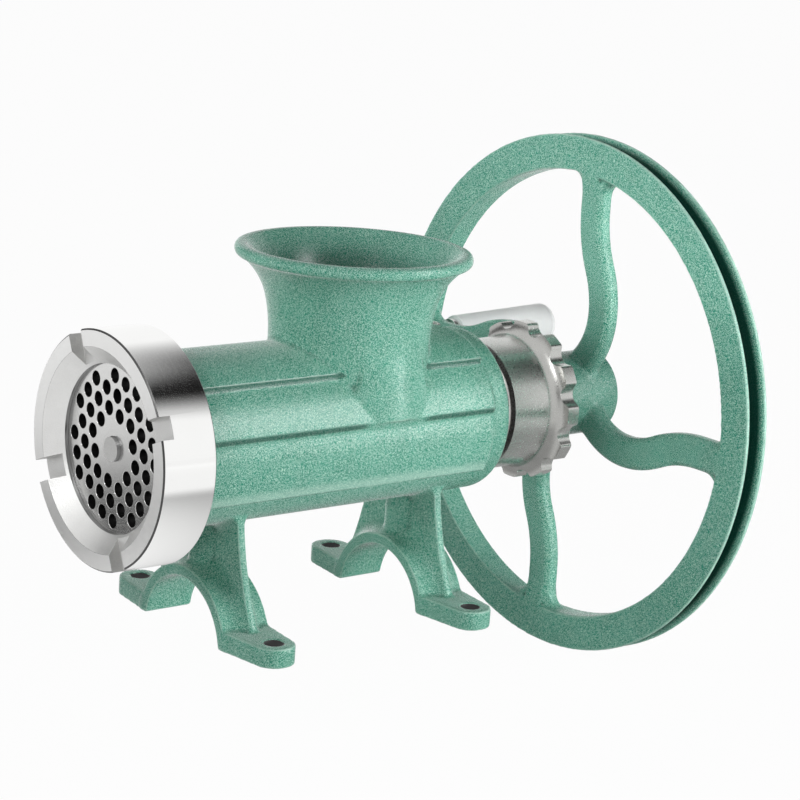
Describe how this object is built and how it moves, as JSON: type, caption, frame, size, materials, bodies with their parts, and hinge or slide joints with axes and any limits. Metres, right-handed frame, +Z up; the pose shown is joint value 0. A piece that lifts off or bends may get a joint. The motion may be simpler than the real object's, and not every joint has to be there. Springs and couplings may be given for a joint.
{
  "type": "hand crank meat grinder",
  "caption": "Bench-mounted cast meat grinder with a hopper, slotted ring nut, drilled plate, feed screw, lobed adjusting nut and a spoked V-groove flywheel with a turning grip.",
  "frame": {"origin": "centre of the four foot bolt holes, on the underside of the feet", "axes": "+X along the barrel from the mouth to the flywheel, +Z up from the feet, +Y completes the right-handed frame"},
  "size_m": [0.4126, 0.3048, 0.3048],
  "materials": {
    "green_paint": "hammered green enamel on cast iron",
    "polished_ring": "polished and plated, with a rough cast recess",
    "ground_plate": "ground flat, drilled",
    "tool_steel": "hardened and ground",
    "tinned_iron": "cast iron, hot tinned",
    "plated_nut": "satin plated casting",
    "bush_bronze": "turned bronze",
    "fibre": "pressed red-brown fibre",
    "bright_fasteners": "bright zinc",
    "pale_grip": "pale grey, smooth"
  },
  "bodies": {
    "body": {"grinder_body": "green_paint", "plate_key": "tool_steel"},
    "plate": {"grinding_plate": "ground_plate"},
    "ring": {"ring_nut": "polished_ring"},
    "rotor": {"feed_screw": "tinned_iron", "knife_stud": "tool_steel", "knife": "tool_steel", "flywheel": "green_paint", "wheel_key": "tool_steel", "wheel_washer": "bright_fasteners", "wheel_spring_washer": "bright_fasteners", "wheel_nut": "bright_fasteners", "grip_spindle": "bright_fasteners", "spindle_washer": "bright_fasteners", "spindle_nut": "bright_fasteners"},
    "handle": {"grip": "pale_grip", "grip_cap": "pale_grip", "grip_washer": "bright_fasteners"},
    "thrust": {"thrust_washer": "tool_steel", "fibre_washer": "fibre"},
    "adjuster": {"adjusting_nut": "plated_nut", "bearing_bush": "bush_bronze"}
  },
  "joints": [
    {"name": "crank_turn", "type": "hinge", "parent": "body", "child": "rotor", "pos_m": [0.187, 0, 0.106], "axis": [1, 0, 0], "continuous": true},
    {"name": "grip_spin", "type": "hinge", "parent": "rotor", "child": "handle", "pos_m": [0.23, 0.12, 0.117], "axis": [1, 0, 0], "continuous": true},
    {"name": "plate_slide", "type": "slide", "parent": "body", "child": "plate", "axis": [-1, 0, 0], "range_m": [0, 0.012]},
    {"name": "ring_turn", "type": "hinge", "parent": "plate", "child": "ring", "pos_m": [-0.12, 0, 0.106], "axis": [-1, 0, 0], "range_deg": [0, 1080]},
    {"name": "thrust_slide", "type": "slide", "parent": "body", "child": "thrust", "axis": [1, 0, 0], "range_m": [0, 0.003]},
    {"name": "nut_turn", "type": "hinge", "parent": "thrust", "child": "adjuster", "pos_m": [0.12, 0, 0.106], "axis": [1, 0, 0], "range_deg": [0, 360]}
  ],
  "couplings": [
    {"joint": "plate_slide", "follows": "ring_turn", "m_per_rad": 0.00063662},
    {"joint": "thrust_slide", "follows": "nut_turn", "m_per_rad": 0.00047746}
  ]
}
